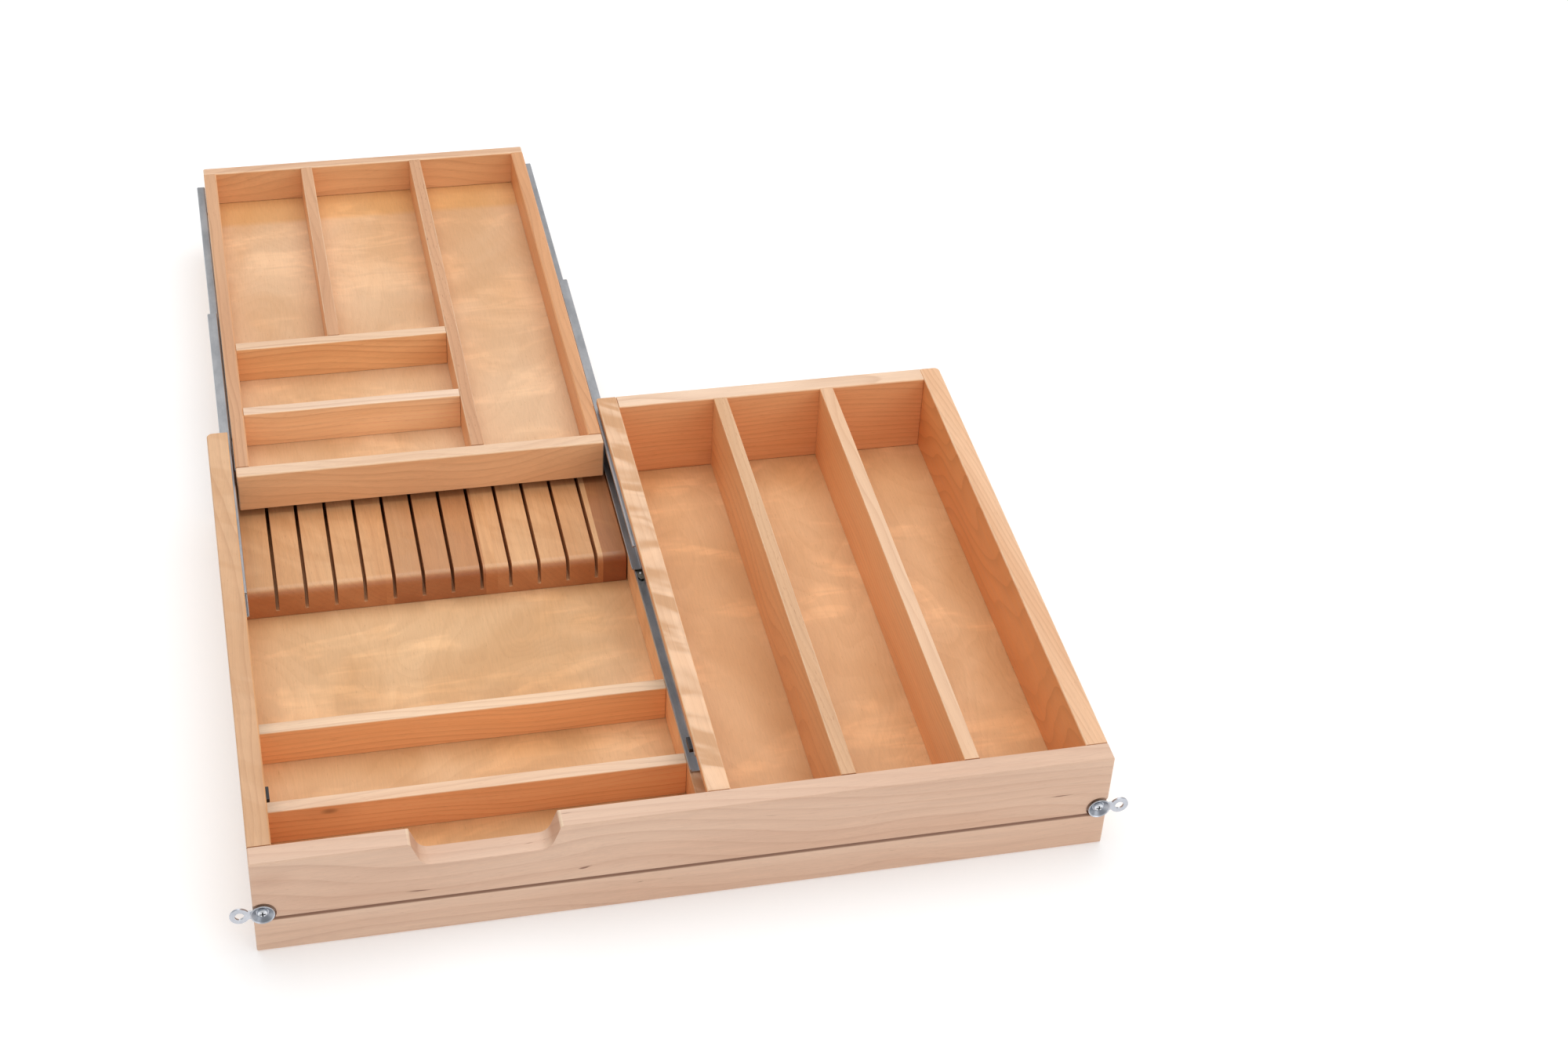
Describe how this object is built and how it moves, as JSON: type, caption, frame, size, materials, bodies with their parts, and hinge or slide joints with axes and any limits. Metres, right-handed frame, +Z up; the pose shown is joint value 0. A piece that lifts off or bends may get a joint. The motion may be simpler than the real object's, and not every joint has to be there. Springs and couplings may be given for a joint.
{
  "type": "drawer organizer insert",
  "caption": "Two-tier wooden drawer insert: a divided box with knife slots under a divided tray that slides on telescopic ball-bearing slides.",
  "frame": {"origin": "underside of the front, at the middle of its width and of its thickness", "axes": "+Z up, +Y from the front to the back, +X to the right seen from the front"},
  "size_m": [0.7104, 0.9845, 0.094],
  "materials": {
    "maple": "satin clear lacquer",
    "plywood": "satin clear lacquer",
    "cherry": "satin clear lacquer",
    "zinc": "bright zinc plate",
    "screw_steel": "zinc plate",
    "black_plastic": "moulded"
  },
  "bodies": {
    "drawer": {"front_panel": "maple", "front_rail": "maple", "left_side": "maple", "right_side": "maple", "middle_divider": "maple", "back_panel": "maple", "back_rail": "maple", "floor_panel": "plywood", "long_divider_1": "maple", "long_divider_2": "maple", "low_divider_front": "maple", "low_divider_rear": "maple", "knife_block": "cherry", "slide_fixed_left": "zinc", "slide_bumper_left": "black_plastic", "fixed_screw_left_1": "screw_steel", "fixed_screw_left_2": "screw_steel", "clip_screw_left": "screw_steel", "slide_fixed_right": "zinc", "slide_bumper_right": "black_plastic", "fixed_screw_right_1": "screw_steel", "fixed_screw_right_2": "screw_steel", "clip_screw_right": "screw_steel"},
    "tray": {"tray_front": "maple", "tray_back": "maple", "tray_side_left": "maple", "tray_side_right": "maple", "tray_floor": "plywood", "tray_divider_long": "maple", "tray_divider_short": "maple", "tray_cross_front": "maple", "tray_cross_rear": "maple", "slide_inner_left": "zinc", "tray_screw_left_1": "screw_steel", "tray_screw_left_2": "screw_steel", "slide_inner_right": "zinc", "tray_screw_right_1": "screw_steel", "tray_screw_right_2": "screw_steel"},
    "middle_left": {"slide_middle_left": "zinc"},
    "outer_race_left": {"outer_cage_left": "zinc"},
    "inner_race_left": {"inner_cage_left": "zinc"},
    "swivel_clip_left": {"clip_left": "zinc"},
    "middle_right": {"slide_middle_right": "zinc"},
    "outer_race_right": {"outer_cage_right": "zinc"},
    "inner_race_right": {"inner_cage_right": "zinc"},
    "swivel_clip_right": {"clip_right": "zinc"}
  },
  "joints": [
    {"name": "tray_slide", "type": "slide", "parent": "drawer", "child": "tray", "axis": [0, -1, 0], "range_m": [0, 0.45]},
    {"name": "middle_left_slide", "type": "slide", "parent": "drawer", "child": "middle_left", "axis": [0, -1, 0], "range_m": [0, 0.225]},
    {"name": "outer_race_left_slide", "type": "slide", "parent": "drawer", "child": "outer_race_left", "axis": [0, -1, 0], "range_m": [0, 0.1125]},
    {"name": "inner_race_left_slide", "type": "slide", "parent": "drawer", "child": "inner_race_left", "axis": [0, -1, 0], "range_m": [0, 0.3375]},
    {"name": "middle_right_slide", "type": "slide", "parent": "drawer", "child": "middle_right", "axis": [0, -1, 0], "range_m": [0, 0.225]},
    {"name": "outer_race_right_slide", "type": "slide", "parent": "drawer", "child": "outer_race_right", "axis": [0, -1, 0], "range_m": [0, 0.1125]},
    {"name": "inner_race_right_slide", "type": "slide", "parent": "drawer", "child": "inner_race_right", "axis": [0, -1, 0], "range_m": [0, 0.3375]},
    {"name": "clip_left_swivel", "type": "hinge", "parent": "drawer", "child": "swivel_clip_left", "pos_m": [-0.3305, -0.0095, 0.041], "axis": [0, 1, 0], "range_deg": [-25, 25]},
    {"name": "clip_right_swivel", "type": "hinge", "parent": "drawer", "child": "swivel_clip_right", "pos_m": [0.3305, -0.0095, 0.041], "axis": [0, 1, 0], "range_deg": [-25, 25]}
  ],
  "couplings": [
    {"joint": "middle_left_slide", "follows": "tray_slide", "ratio": 0.5},
    {"joint": "outer_race_left_slide", "follows": "tray_slide", "ratio": 0.25},
    {"joint": "inner_race_left_slide", "follows": "tray_slide", "ratio": 0.75},
    {"joint": "middle_right_slide", "follows": "tray_slide", "ratio": 0.5},
    {"joint": "outer_race_right_slide", "follows": "tray_slide", "ratio": 0.25},
    {"joint": "inner_race_right_slide", "follows": "tray_slide", "ratio": 0.75}
  ]
}
